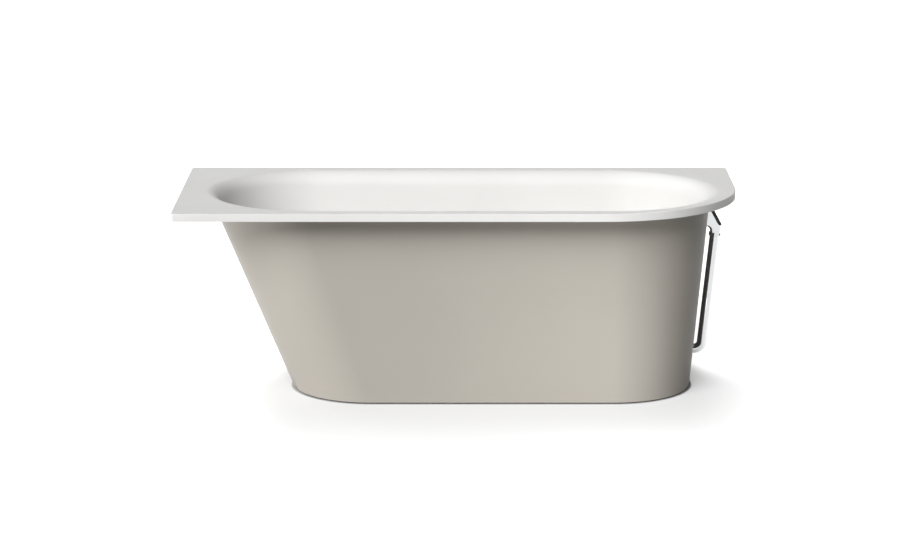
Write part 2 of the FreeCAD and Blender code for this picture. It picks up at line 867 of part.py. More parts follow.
def make_overflow_ring():
    """Threaded ring that clamps the wall, with a hub on three arms for the cover."""
    outer = overflow_throat_radius + overflow_throat_wall
    profile = [
        (outer, 0),
        (overflow_ring_radius, 0),
        (overflow_ring_radius, overflow_ring_height),
        (overflow_throat_radius, overflow_ring_height),
        (overflow_throat_radius, -overflow_throat_length),
        (outer, -overflow_throat_length),
    ]
    pieces = [turned(profile), cylinder(overflow_hub_radius, 0, overflow_ring_height)]
    half = overflow_arm_width / 2
    for count in range(guide_arm_count):
        arm = block(Vector(0, -half, 0), Vector(outer, half, overflow_ring_height))
        arm.rotate(Vector(0, 0, 0), up, right_angle + count * full_turn / guide_arm_count)
        pieces.append(arm)
    return in_overflow(fused(pieces))


def make_overflow_gasket():
    washer = ring(overflow_body_flange_radius, overflow_hole_radius, overflow_body_face, -shell_wall)
    return in_overflow(washer)


def make_overflow_body():
    neck = overflow_throat_radius + overflow_throat_wall + fit_clearance
    cup = overflow_body_radius - overflow_body_wall
    back = overflow_body_face - overflow_body_depth
    neck_end = -overflow_throat_length - fit_clearance
    profile = [
        (neck, overflow_body_face),
        (overflow_body_flange_radius, overflow_body_face),
        (overflow_body_flange_radius, overflow_body_face - overflow_body_flange_height),
        (overflow_body_radius, overflow_body_face - overflow_body_flange_height),
        (overflow_body_radius, back),
        (0, back),
        (0, back + overflow_body_wall),
        (cup, back + overflow_body_wall),
        (cup, neck_end),
        (neck, neck_end),
    ]
    down = Vector(0, -1, 0)
    start = Vector(0, -cup, overflow_port_depth)
    spigot = Part.makeCylinder(port_radius, overflow_port_reach - cup, start, down)
    middle = Vector(0, 0, overflow_port_depth)
    bore = Part.makeCylinder(port_radius - port_wall, overflow_port_reach, middle, down)
    return in_overflow(turned(profile).fuse(spigot).cut(bore).removeSplitter())


def pipe_route():
    """Corner points of the pipe: spigot on the overflow, turn under the basin, port on the waste."""
    lean = math.radians(side_wall_angle)
    down = Vector(0, -math.sin(lean), -math.cos(lean))
    seat = in_overflow(Part.Vertex(0, -overflow_port_reach + pipe_grip, overflow_port_depth)).Point
    corner = seat + down * ((seat.z - port_level) / math.cos(lean))
    end = Vector(waste_x, basin_y + port_reach - pipe_grip, port_level)
    return seat, corner, end


def pipe_path():
    seat, corner, end = pipe_route()
    radius = floor_radius + shell_wall + pipe_wall_gap + pipe_radius
    into = (corner - seat).normalize()
    out = (end - corner).normalize()
    turn = into.getAngle(out)
    reach = radius * math.tan(turn / 2)
    start = corner - into * reach
    finish = corner + out * reach
    inward = (out - into).normalize()
    centre = corner + inward * (radius / math.cos(turn / 2))
    middle = centre - inward * radius
    return Part.Wire([line(seat, start), arc(start, middle, finish), line(finish, end)])


def pipe_sweep(radius):
    seat, corner, end = pipe_route()
    section = Part.Wire([Part.Circle(seat, corner - seat, radius).toShape()])
    return pipe_path().makePipeShell([section], True, False)


def make_overflow_pipe():
    return pipe_sweep(pipe_radius).cut(pipe_sweep(port_radius + fit_clearance))


def make_pipe_nuts():
    """Clamp rings on the pipe's two ends."""
    seat, corner, end = pipe_route()
    nuts = []
    for foot, along in ((seat, corner - seat), (end, corner - end)):
        outer = Part.makeCylinder(pipe_nut_radius, pipe_nut_length, foot, along)
        inner = Part.makeCylinder(pipe_radius + fit_clearance, pipe_nut_length, foot, along)
        nuts.append(outer.cut(inner))
    return Part.makeCompound(nuts)


# Rail, drawn on the apron's right face: X is the distance off the face and Z runs up it

rail_axis = rail_gap + rail_radius
rail_foot = rail_foot_height
bracket_top = apron_top - rail_bracket_top_drop
rail_bracket_foot = bracket_top - rail_bracket_height
rail_socket_top = rail_bracket_foot + rail_socket_depth
rail_bolt_levels = (bracket_top - rail_bolt_top_drop + rail_bolt_spacing / 2,
                    bracket_top - rail_bolt_top_drop - rail_bolt_spacing / 2)
lean = math.radians(rail_lean_angle)
lean_along = Vector(math.sin(lean), 0, -math.cos(lean))
lean_square = Vector(math.cos(lean), 0, math.sin(lean))


def on_rail(shape):
    """Puts a shape on the apron's right face."""
    copy = shape.copy()
    foot = right_edge - apron_right_margin - apron_top * slope(apron_right_angle)
    turn = Rotation(Vector(0, 1, 0), apron_right_angle)
    copy.Placement = FreeCAD.Placement(Vector(foot, rail_y, 0), turn)
    return copy


def across(radius, start, end, level):
    """Round bar square to the apron's face."""
    return Part.makeCylinder(radius, end - start, Vector(start, 0, level), Vector(1, 0, 0))


def hex_across(width_over_flats, start, end, level):
    bar = hexagon(width_over_flats, start, end)
    bar.rotate(Vector(0, 0, 0), Vector(0, 1, 0), right_angle)
    return moved(bar, 0, 0, level)


def rail_sweep(radius, foot_end):
    bend = rail_bend_radius
    top = Vector(rail_axis, 0, rail_socket_top)
    turn_start = Vector(rail_axis, 0, rail_foot + bend)
    turn_end = Vector(rail_axis - bend, 0, rail_foot)
    fall = bend * math.cos(math.pi / 4)
    turn_middle = Vector(rail_axis - bend + fall, 0, rail_foot + bend - fall)
    foot = Vector(foot_end, 0, rail_foot)
    path = Part.Wire([line(top, turn_start), arc(turn_start, turn_middle, turn_end), line(turn_end, foot)])
    section = Part.Wire([Part.Circle(top, up, radius).toShape()])
    return path.makePipeShell([section], True, False)


def make_rail_tube():
    bore = rail_sweep(rail_radius - rail_wall, -apron_wall)
    return on_rail(rail_sweep(rail_radius, -apron_wall).cut(bore))


def leaning_cut(half):
    """Everything over the bracket's leaning face."""
    nose = Vector(rail_axis + half, -half - overrun, rail_bracket_foot + rail_bracket_shoulder)
    across_lean = lean_square * rail_bracket_height
    start = nose - lean_along * rail_bracket_height
    end = nose + lean_along * rail_bracket_height
    corners = [start, end, end + across_lean, start + across_lean, start]
    return Part.Face(Part.makePolygon(corners)).extrude(Vector(0, 2 * (half + overrun), 0))


def bevel_cut(half, side):
    """Wedge along one edge of the leaning face."""
    outward = Vector(0, side, 0)
    nose = Vector(rail_axis + half, side * half, rail_bracket_foot + rail_bracket_shoulder)
    start = nose - lean_along * rail_bracket_height
    low = start - lean_square * rail_bracket_bevel
    high = start - outward * rail_bracket_bevel
    corners = [low + (low - high), high + (high - low), start + (lean_square + outward) * rail_bracket_bevel]
    corners.append(corners[0])
    return Part.Face(Part.makePolygon(corners)).extrude(lean_along * (2 * rail_bracket_height))


def throat_cut(half):
    """Arched opening between the apron's face and the socket, over the collar."""
    room = rail_axis - rail_radius - rail_bracket_neck_wall
    low = rail_bracket_foot + rail_bracket_collar
    spring = low + rail_bracket_arch_rise
    depth = 2 * (half + overrun)
    arch = Part.makeCylinder(room / 2, depth, Vector(room / 2, -depth / 2, spring), Vector(0, 1, 0))
    return arch.fuse(block(Vector(0, -depth / 2, low), Vector(room, depth / 2, spring)))


def make_rail_top_bracket():
    """Cast holder: an arm with a leaning, bevelled face, an arched throat and a collar round the tube."""
    half = rail_radius + rail_collar_wall
    arm_foot = rail_bracket_foot + rail_bracket_collar
    arm = block(Vector(0, -half, arm_foot), Vector(rail_axis, half, bracket_top))
    bracket = arm.fuse(cylinder(half, rail_bracket_foot, bracket_top, rail_axis)).removeSplitter()
    foot_edges = [edge for edge in bracket.Edges if is_level(edge, rail_bracket_foot)]
    bracket = bracket.makeFillet(rail_bracket_edge_round, foot_edges)
    bracket = bracket.cut(throat_cut(half)).cut(leaning_cut(half))
    for side in (-1, 1):
        bracket = bracket.cut(bevel_cut(half, side))
    socket_low = rail_bracket_foot - overrun
    bracket = bracket.cut(cylinder(rail_radius + fit_clearance, socket_low, rail_socket_top, rail_axis))
    for level in rail_bolt_levels:
        bracket = bracket.cut(across(rail_bolt_radius + fit_clearance, -overrun, rail_bolt_depth, level))
    return on_rail(bracket.cut(grub_screw_bar(rail_collar_wall + overrun)))


def grub_screw_bar(bar_length):
    """Round bar through the collar, towards the tube's axis."""
    turn = math.radians(grub_screw_angle)
    direction = Vector(math.cos(turn), math.sin(turn), 0)
    start = Vector(rail_axis, 0, rail_bracket_foot + grub_screw_height) + direction * rail_radius
    return Part.makeCylinder(grub_screw_radius, bar_length, start, direction)


def make_rail_grub_screw():
    return on_rail(grub_screw_bar(grub_screw_length))


def make_rail_backing_plate():
    half = backing_plate_width / 2
    low = Vector(-apron_wall - backing_plate_wall, -half, rail_bolt_levels[1] - backing_plate_margin)
    high = Vector(-apron_wall, half, rail_bolt_levels[0] + backing_plate_margin)
    plate = block(low, high)
    for level in rail_bolt_levels:
        plate = plate.cut(across(rail_bolt_radius + fit_clearance, low.x - overrun, high.x + overrun, level))
    return on_rail(plate)


def make_rail_bolts():
    seat = -apron_wall - backing_plate_wall
    bolts = []
    for level in rail_bolt_levels:
        shank = across(rail_bolt_radius, seat, rail_bolt_depth, level)
        head = hex_across(rail_bolt_head_width, seat - rail_bolt_head_height, seat, level)
        bolts.append(on_rail(shank.fuse(head)))
    return Part.makeCompound(bolts)


def make_rail_end_plug():
    plug = across(rail_radius - rail_wall, -apron_wall, end_plug_length - apron_wall, rail_foot)
    thread = across(end_bolt_radius + fit_clearance, -apron_wall - overrun, end_bolt_depth, rail_foot)
    return on_rail(plug.cut(thread))


def make_rail_end_washer():
    start = -apron_wall - end_washer_wall
    washer = across(end_washer_radius, start, -apron_wall, rail_foot)
    return on_rail(washer.cut(across(end_bolt_radius + fit_clearance, start - overrun, overrun, rail_foot)))


def make_rail_end_bolt():
    seat = -apron_wall - end_washer_wall
    shank = across(end_bolt_radius, seat, end_bolt_depth, rail_foot)
    head = hex_across(end_bolt_head_width, seat - end_bolt_head_height, seat, rail_foot)
    return on_rail(shank.fuse(head))


# Build and write every piece

def build():
    under_shell = under_shell_space()
    inside = apron_inside()
    left_bar, right_bar = bar_places()
    pieces = {
        "tub_shell": make_tub_shell(under_shell),
        "apron_panel": make_apron_panel(inside),
        "apron_pads": make_apron_pads(inside, under_shell),
        "base_board": make_base_board(),
        "leg_bar_left": make_leg_bar(left_bar),
        "leg_bar_right": make_leg_bar(right_bar),
        "bar_screws": make_bar_screws(),
        "lock_nuts": make_lock_nuts(),
        "floor_brackets": make_floor_brackets(),
        "bracket_screws": make_bracket_screws(),
        "waste_flange": make_waste_flange(),
        "waste_gasket": make_waste_gasket(),
        "waste_body": make_waste_body(),
        "plug_cap": make_plug_cap(),
        "plug_seal": make_plug_seal(),
        "plug_stem": make_plug_stem(),
        "plug_latch": make_plug_latch(),
        "trap_nut": make_trap_nut(),
        "trap_body": make_trap_body(),
        "overflow_cover": make_overflow_cover(),
        "overflow_ring": make_overflow_ring(),
        "overflow_gasket": make_overflow_gasket(),
        "overflow_body": make_overflow_body(),
        "overflow_pipe": make_overflow_pipe(),
        "pipe_nuts": make_pipe_nuts(),
        "rail_tube": make_rail_tube(),
        "rail_top_bracket": make_rail_top_bracket(),
        "rail_grub_screw": make_rail_grub_screw(),
        "rail_backing_plate": make_rail_backing_plate(),
        "rail_bolts": make_rail_bolts(),
        "rail_end_plug": make_rail_end_plug(),
        "rail_end_washer": make_rail_end_washer(),
        "rail_end_bolt": make_rail_end_bolt(),
    }
    for end, x in (("left", left_bar), ("right", right_bar)):
        for side, y in zip(("front", "back"), foot_places):
            pieces["foot_pad_" + end + "_" + side] = make_foot_pad(x, y)
            pieces["foot_spindle_" + end + "_" + side] = make_foot_spindle(x, y)
    return pieces


os.makedirs("parts", exist_ok=True)
for name, shape in build().items():
    shape.exportStep("parts/" + name + ".step")
    print(name, len(shape.Solids), shape.isValid(), round(shape.Volume))
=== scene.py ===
import bmesh
import bpy
import json
import math
from mathutils import Matrix, Vector


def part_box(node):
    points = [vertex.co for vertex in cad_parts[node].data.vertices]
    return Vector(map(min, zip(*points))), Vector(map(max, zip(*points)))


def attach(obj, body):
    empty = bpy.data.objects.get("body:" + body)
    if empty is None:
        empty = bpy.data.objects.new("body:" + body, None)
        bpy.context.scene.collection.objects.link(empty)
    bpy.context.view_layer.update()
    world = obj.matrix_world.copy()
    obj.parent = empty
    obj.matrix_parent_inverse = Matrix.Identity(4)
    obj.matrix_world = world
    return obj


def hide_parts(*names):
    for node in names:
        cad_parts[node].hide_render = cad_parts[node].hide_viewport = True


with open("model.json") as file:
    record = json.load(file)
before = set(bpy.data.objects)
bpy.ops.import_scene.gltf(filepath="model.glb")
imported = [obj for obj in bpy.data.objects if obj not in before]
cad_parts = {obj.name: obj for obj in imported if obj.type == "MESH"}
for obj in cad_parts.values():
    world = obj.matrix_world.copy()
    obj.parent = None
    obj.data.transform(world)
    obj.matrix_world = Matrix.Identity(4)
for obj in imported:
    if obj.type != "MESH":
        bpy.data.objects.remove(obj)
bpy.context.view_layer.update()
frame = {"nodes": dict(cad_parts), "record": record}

# Corner bath with apron skirt and chrome rail, in metres, in the frame of the CAD model

# Overall size, read from the frame
shell_low, shell_high = (Vector(corner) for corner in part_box("tub_shell"))
left_edge, front_edge, shell_foot = shell_low
right_edge, back_edge, height = shell_high

# Shell
shell_wall = 0.006
rim_corner_radius = 0.418
rim_small_corner_radius = 0.008
rim_edge_height = 0.024
rim_edge_round = 0.002
basin_left_margin = 0.109
basin_right_margin = 0.095
basin_front_margin = 0.083
basin_back_margin = 0.084
left_wall_angle = 23.7
right_wall_angle = 8.0
side_wall_angle = 6.8
floor_top = shell_foot + shell_wall
roll_radius = 0.052
floor_radius = 0.080
waste_hole_radius = 0.026
overflow_hole_radius = 0.026
overflow_above_floor = 0.290
flat_support = 0.004

# Apron
apron_low, apron_high = (Vector(corner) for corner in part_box("apron_panel"))
apron_foot = apron_low.z
apron_top = apron_high.z
apron_back = apron_high.y
apron_wall = 0.004
apron_flange = 0.024
apron_left_angle = 23.35
apron_right_angle = 5.75
apron_front_angle = 0.6
apron_top_radius = 0.29985
apron_foot_radius = 0.245
apron_edge_round = 0.001
apron_levels = 8

# Rail
rail_y = 0.125
rail_radius = 0.0155
rail_gap = 0.0275
rail_bend_radius = 0.024
rail_foot_height = 0.071
rail_socket_depth = 0.030
rail_bracket_top_drop = 0.010
rail_bracket_height = 0.115
rail_bracket_shoulder = 0.0365
rail_lean_angle = 34.0
rail_bracket_collar = 0.012
rail_bracket_neck_wall = 0.0015
rail_bracket_arch_rise = 0.004
rail_bracket_bevel = 0.010
rail_bracket_edge_round = 0.008
rail_collar_wall = 0.0035
rail_collar_edge_round = 0.002
grub_screw_height = 0.007
grub_screw_angle = -40.0
grub_hole_radius = 0.0035
rail_axis = rail_gap + rail_radius
holder_half = rail_radius + rail_collar_wall

# Fineness of round forms, and the angles from which edges stay sharp
arc_steps = 56
line_steps = 20
round_steps = 14
corner_steps = 8
edge_steps = 5
tube_steps = 40
lathe_steps = 80
crease_angle = 35
holder_crease_angle = 15

# Range that noise values fill for the most part
noise_low = 0.3
noise_high = 0.7

# Camera and photograph
photo_width = 920
focal_pixels = 2976.5
sensor_width = 36.0
camera_place = Vector((0.0034, -8.9613, 2.3276))
camera_pitch = 12.437

# Floor, world and lamps
floor_half = 40.0
floor_pale = 0.45
floor_dim = 0.15
# Glow of the floor where it is seen: low round the apron's foot as a painted shadow, white further off
painted_shadow_floor_lift = 0.43
floor_far = 0.72
# Shape of the painted shadow in the floor's glow, and where it clears towards the back
painted_shadow_reach = 0.24
painted_shadow_front_share = 0.34
painted_shadow_corner = 0.09
painted_shadow_back_reach = 0.04
painted_shadow_back_start = -0.14
painted_shadow_back_end = 0.24
# Painted contact line: no glow under the bath, rising just outside the foot
painted_contact_start = 0.003
painted_contact_end = 0.010
world_light = 0.03
backdrop_full = 0.14
backdrop_top = 0.28
studio_dim = 0.02
strip_level = 0.12
sun_distance = 5

up = Vector((0, 0, 1))


def slope(angle):
    return math.tan(math.radians(angle))


# Mesh helpers

def add_ring(mesh, points):
    return [mesh.verts.new(point) for point in points]


def bridge(mesh, first, second, closed=True):
    """Quads between two rows of as many points."""
    count = len(first)
    for step in range(count if closed else count - 1):
        after = (step + 1) % count
        mesh.faces.new((first[step], first[after], second[after], second[step]))


def bridge_all(mesh, rings, closed=True):
    for first, second in zip(rings, rings[1:]):
        bridge(mesh, first, second, closed)


def skin(mesh, rings):
    """Body through rings of as many points, closed at both ends."""
    bridge_all(mesh, rings)
    mesh.faces.new(rings[0])
    mesh.faces.new(rings[-1])


def ring_edges(mesh, ring):
    pairs = zip(ring, ring[1:] + ring[:1])
    return [mesh.edges.get(pair) or mesh.edges.new(pair) for pair in pairs]


def fill_between(mesh, outer, inner):
    """Flat face with a hole, between two closed rings on one level."""
    edges = ring_edges(mesh, outer) + ring_edges(mesh, inner)
    bmesh.ops.triangle_fill(mesh, use_beauty=True, edges=edges, normal=up)


def circle(centre, radius, steps):
    points = []
    for step in range(steps):
        turn = 2 * math.pi * step / steps
        points.append(centre + Vector((radius * math.cos(turn), radius * math.sin(turn), 0)))
    return points


def quarter(centre, radius, start_angle, steps):
    """Points on a quarter circle, counter-clockwise, both ends included."""
    points = []
    for step in range(steps + 1):
        turn = math.radians(start_angle + 90 * step / steps)
        points.append(centre + Vector((radius * math.cos(turn), radius * math.sin(turn), 0)))
    return points


def between(start, end, steps):
    """Points from start up to, but without, end."""
    return [start.lerp(end, step / steps) for step in range(steps)]


def rounded(corner, first, second, radius, steps):
    """Arc that rounds a corner between two directions that lead away from it."""
    half = first.angle(second) / 2
    reach = radius / math.tan(half)
    centre = corner + (first + second).normalized() * (radius / math.sin(half))
    start = corner + first * reach - centre
    end = corner + second * reach - centre
    return [centre + start.slerp(end, step / steps, start) * radius for step in range(steps + 1)]


def new_piece(name, mesh, material, nodes, body="bath", sharp_angle=crease_angle):
    """Object from a mesh under construction, in place of CAD nodes."""
    bmesh.ops.recalc_face_normals(mesh, faces=mesh.faces)
    data = bpy.data.meshes.new(name)
    mesh.to_mesh(data)
    mesh.free()
    data.shade_smooth()
    data.set_sharp_from_angle(angle=math.radians(sharp_angle))
    piece = bpy.data.objects.new(name, data)
    bpy.context.scene.collection.objects.link(piece)
    data.materials.append(material)
    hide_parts(*nodes)
    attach(piece, body)


def lathe(mesh, centre, profile):
    """Closed round body from (radius, level) pairs."""
    rings = [circle(centre + up * level, radius, lathe_steps) for radius, level in profile]
    skin(mesh, [add_ring(mesh, ring) for ring in rings])


def bored(mesh, tool):
    """Cuts one closed mesh out of another."""
    bodies = []
    for source in (mesh, tool):
        bmesh.ops.recalc_face_normals(source, faces=source.faces)
        data = bpy.data.meshes.new("bored")
        source.to_mesh(data)
        source.free()
        bodies.append(bpy.data.objects.new("bored", data))
        bpy.context.scene.collection.objects.link(bodies[-1])
    cut = bodies[0].modifiers.new("bore", "BOOLEAN")
    cut.object = bodies[1]
    result = bmesh.new()
    result.from_object(bodies[0], bpy.context.evaluated_depsgraph_get())
    for body in bodies:
        bpy.data.meshes.remove(body.data)
    return result


# Tub shell

def basin_reach(level, offset):
    """Left, right, front and back of the basin wall on a level, offset square to it."""
    fall = height - level
    left = left_edge + basin_left_margin + fall * slope(left_wall_angle)
    right = right_edge - basin_right_margin - fall * slope(right_wall_angle)
    front = front_edge + basin_front_margin + fall * slope(side_wall_angle)
    back = back_edge - basin_back_margin - fall * slope(side_wall_angle)
    angles = (left_wall_angle, right_wall_angle, side_wall_angle)
    left_out, right_out, side_out = (offset / math.cos(math.radians(angle)) for angle in angles)
    return left - left_out, right + right_out, front - side_out, back + side_out


def half_turn(start_angle):
    """Directions round half a turn, counter-clockwise, without its end."""
    turns = [math.radians(start_angle + 180 * step / arc_steps) for step in range(arc_steps)]
    return [Vector((math.cos(turn), math.sin(turn), 0)) for turn in turns]


def stadium(level, offset):
    """Points round the basin on a level, each with its outward direction."""
    left, right, front, back = basin_reach(level, offset)
    radius = (back - front) / 2
    middle = (back + front) / 2
    right_centre = Vector((right - radius, middle, level))
    left_centre = Vector((left + radius, middle, level))
    forward = Vector((0, -radius, 0))
    right_end = half_turn(-90)
    left_end = half_turn(90)
    points = between(left_centre + forward, right_centre + forward, line_steps)
    points += [right_centre + direction * radius for direction in right_end]
    points += between(right_centre - forward, left_centre - forward, line_steps)
    points += [left_centre + direction * radius for direction in left_end]
    to_front = [Vector((0, -1, 0))] * line_steps
    to_back = [Vector((0, 1, 0))] * line_steps
    return points, to_front + right_end + to_back + left_end


def basin_profiles(offset):
    """For each place round the basin, the points from the rim over the roll down to the floor."""
    tops, outward = stadium(height - offset, offset)
    floors = stadium(floor_top - offset, offset)[0]
    profiles = []
    for top, floor, out in zip(tops, floors, outward):
        down = (floor - top).normalized()
        roll = rounded(top, out, down, roll_radius - offset, round_steps)
        hollow = rounded(floor, -down, -out, floor_radius + offset, round_steps)
        wall = between(roll[-1], hollow[0], round_steps)[1:]
        first = roll[0] + out * flat_support
        last = hollow[-1] - out * flat_support
        profiles.append([first] + roll + wall + hollow + [last])
    return profiles


def rim_outline(inset, level):
    """Outline of the rim: a large round corner at the right front, and three small ones."""
    left, right = left_edge + inset, right_edge - inset
    front, back = front_edge + inset, back_edge - inset
    radius = rim_corner_radius - inset
    small = max(rim_small_corner_radius - inset, rim_edge_round)
    centres = (
        (Vector((right - radius, front + radius, level)), radius, -90, arc_steps),
        (Vector((right - small, back - small, level)), small, 0, corner_steps),
        (Vector((left + small, back - small, level)), small, 90, corner_steps),
        (Vector((left + small, front + small, level)), small, 180, corner_steps),
    )
    points = []
    for centre, corner_radius, start, steps in centres:
        corner = quarter(centre, corner_radius, start, steps)
        if points:
            points += between(points[-1], corner[0], line_steps)[1:]
        points += corner
    return points + between(points[-1], points[0], line_steps)[1:]


def rim_lip(mesh):
    """Rings down the rounded outer edge of the rim and up behind it."""
    rings = [rim_outline(rim_edge_round + flat_support, height)]
    for step in range(edge_steps + 1):
        turn = math.pi / 2 * step / edge_steps
        inset = rim_edge_round * (1 - math.sin(turn))
        drop = rim_edge_round * (1 - math.cos(turn))
        rings.append(rim_outline(inset, height - drop))
    foot = height - rim_edge_height
    rings.append(rim_outline(0, foot))
    rings.append(rim_outline(shell_wall, foot))
    rings.append(rim_outline(shell_wall, height - shell_wall))
    return [add_ring(mesh, ring) for ring in rings]


def basin_rings(mesh, offset):
    """Rings round the basin, from the rim down to the floor."""
    profiles = basin_profiles(offset)
    return [add_ring(mesh, ring) for ring in zip(*profiles)]


def waste_place():
    """Centre of the waste's hole, in the middle of the basin's floor."""
    left, right, front, back = basin_reach(floor_top, 0)
    return Vector(((left + right) / 2, (front + back) / 2, floor_top))


def overflow_cutter():
    """Round cutter square to the back wall, where the overflow goes through."""
    level = floor_top + overflow_above_floor
    reach = 2 * shell_wall
    cutter = bmesh.new()
    lathe(cutter, Vector(), [(overflow_hole_radius, -reach), (overflow_hole_radius, reach)])
    place = Matrix.Translation((waste_place().x, basin_reach(level, 0)[3], level))
    cutter.transform(place @ Matrix.Rotation(math.radians(90 - side_wall_angle), 4, "X"))
    return cutter


def make_tub(material):
    mesh = bmesh.new()
    lip = rim_lip(mesh)
    inside = basin_rings(mesh, 0)
    outside = basin_rings(mesh, shell_wall)
    for rings in (lip, inside, outside):
        bridge_all(mesh, rings)
    centre = waste_place()
    hole_top = add_ring(mesh, circle(centre, waste_hole_radius, tube_steps))
    hole_foot = add_ring(mesh, circle(centre - up * shell_wall, waste_hole_radius, tube_steps))
    bridge(mesh, hole_top, hole_foot)
    fill_between(mesh, lip[0], inside[0])
    fill_between(mesh, lip[-1], outside[0])
    fill_between(mesh, inside[-1], hole_top)
    fill_between(mesh, outside[-1], hole_foot)
    mesh = bored(mesh, overflow_cutter())
    new_piece("moulded_tub", mesh, material, ["tub_shell"])


# Apron

def apron_reach(inset, level):
    """Left, right and front of the apron on a level, drawn in square to its faces."""
    fall = apron_top - level
    angles = (apron_left_angle, apron_right_angle, apron_front_angle)
    left_in, right_in, front_in = (inset / math.cos(math.radians(angle)) for angle in angles)
    left = apron_low.x + fall * slope(apron_left_angle) + left_in
    right = apron_high.x - fall * slope(apron_right_angle) - right_in
    front = apron_low.y + fall * slope(apron_front_angle) + front_in
    return left, right, front


def apron_line(inset, level):
    """Open row of points round the apron on a level, from the left end of the back to the right."""
    left, right, front = apron_reach(inset, level)
    share = (apron_top - level) / (apron_top - apron_foot)
    radius = apron_top_radius + share * (apron_foot_radius - apron_top_radius) - inset
    left_centre = Vector((left + radius, front + radius, level))
    right_centre = Vector((right - radius, front + radius, level))
    left_arc = quarter(left_centre, radius, 180, arc_steps)
    right_arc = quarter(right_centre, radius, -90, arc_steps)
    points = between(Vector((left, apron_back, level)), left_arc[0], line_steps) + left_arc
    points += between(points[-1], right_arc[0], line_steps)[1:] + right_arc
    back_right = Vector((right, apron_back, level))
    return points + between(points[-1], back_right, line_steps)[1:] + [back_right]


def apron_profile():
    """Closed section of the skirt and its foot flange, as (inset, level)."""
    edge = apron_edge_round
    flange_top = apron_foot + apron_wall
    flange_end = apron_wall + apron_flange
    steps = range(apron_levels + 1)
    rise = apron_top - edge - apron_foot - edge
    outer = [(0, apron_foot + edge + rise * step / apron_levels) for step in steps]
    inner_rise = apron_top - edge - flange_top
    inner = [(apron_wall, apron_top - edge - inner_rise * step / apron_levels) for step in steps]
    top = [(edge, apron_top), (apron_wall - edge, apron_top)]
    flange = [(flange_end, flange_top), (flange_end, apron_foot), (edge, apron_foot)]
    return outer + top + inner + flange


def make_apron(material):
    mesh = bmesh.new()
    rows = [add_ring(mesh, apron_line(inset, level)) for inset, level in apron_profile()]
    bridge_all(mesh, rows + rows[:1], closed=False)
    mesh.faces.new([row[0] for row in rows])
    mesh.faces.new([row[-1] for row in rows])
    new_piece("apron_skirt", mesh, material, ["apron_panel"])


# Rail

def rail_frame():
    """Turns the rail's own plane, X off the apron's face and Z up it, into the frame of the CAD model."""
    foot = apron_high.x - apron_top * slope(apron_right_angle)
    turn = Matrix.Rotation(math.radians(apron_right_angle), 4, "Y")
    return Matrix.Translation(Vector((foot, rail_y, 0))) @ turn


def tube_along(mesh, path, radius):
    """Closed round tube along a path that lies in the XZ plane."""
    rings = []
    across = Vector((0, 1, 0))
    for step, point in enumerate(path):
        before = path[max(step - 1, 0)]
        after = path[min(step + 1, len(path) - 1)]
        aside = (after - before).normalized().cross(across)
        ring = []
        for turn_step in range(tube_steps):
            turn = 2 * math.pi * turn_step / tube_steps
            ring.append(point + (across * math.cos(turn) + aside * math.sin(turn)) * radius)
        rings.append(add_ring(mesh, ring))
    skin(mesh, rings)


def rail_path(socket_top):
    """From the holder's socket down, round the bend and into the apron."""
    bend_centre = Vector((rail_axis - rail_bend_radius, 0, rail_foot_height + rail_bend_radius))
    bend = []
    for step in range(round_steps + 1):
        turn = math.pi / 2 * step / round_steps
        bend.append(bend_centre + Vector((math.cos(turn), 0, -math.sin(turn))) * rail_bend_radius)
    return [Vector((rail_axis, 0, socket_top))] + bend + [Vector((-apron_wall, 0, rail_foot_height))]


def holder_levels():
    """Foot, collar top and top of the holder, up the apron's face."""
    top = apron_top - rail_bracket_top_drop
    foot = top - rail_bracket_height
    return foot, foot + rail_bracket_collar, top


def holder_slice(y):
    """Closed outline of the holder's arm at one depth: arched throat, nose and leaning face."""
    foot, collar_top, top = holder_levels()
    near_edge = max(abs(y) - holder_half + rail_bracket_edge_round, 0)
    inset = rail_bracket_edge_round - math.sqrt(max(rail_bracket_edge_round ** 2 - near_edge ** 2, 0))
    drop = max(abs(y) - holder_half + rail_bracket_bevel, 0)
    lean = math.radians(rail_lean_angle)
    nose_x, nose_z = rail_axis + holder_half, foot + rail_bracket_shoulder
    right = rail_axis + math.sqrt(max(holder_half ** 2 - y ** 2, 0))
    right_top = nose_z + ((nose_x - right) * math.cos(lean) - drop) / math.sin(lean)
    top_right = nose_x - ((top - inset - nose_z) * math.sin(lean) + drop) / math.cos(lean)
    throat = rail_axis - rail_radius - rail_bracket_neck_wall
    spring = collar_top + rail_bracket_arch_rise
    reach = throat / 2 + inset
    points = []
    for step in range(round_steps + 1):
        turn = math.pi * (1 - step / round_steps)
        x = throat / 2 + reach * math.cos(turn)
        points.append(Vector((max(x, 0), y, spring + reach * math.sin(turn))))
    corners = [
        (throat + inset, collar_top),
        (right, collar_top),
        (right, right_top),
        (max(top_right, 0), top - inset),
        (0, top - inset),
    ]
    return points + [Vector((x, y, z)) for x, z in corners]


def holder_arm(mesh):
    """Arm over the collar, from slices that lie closer together towards its two sides."""
    turns = [math.radians(180 * step / tube_steps - 90) for step in range(tube_steps + 1)]
    depths = [holder_half * math.sin(turn) for turn in turns]
    depths += [holder_half - rail_bracket_bevel, rail_bracket_bevel - holder_half]
    skin(mesh, [add_ring(mesh, holder_slice(depth)) for depth in sorted(depths)])


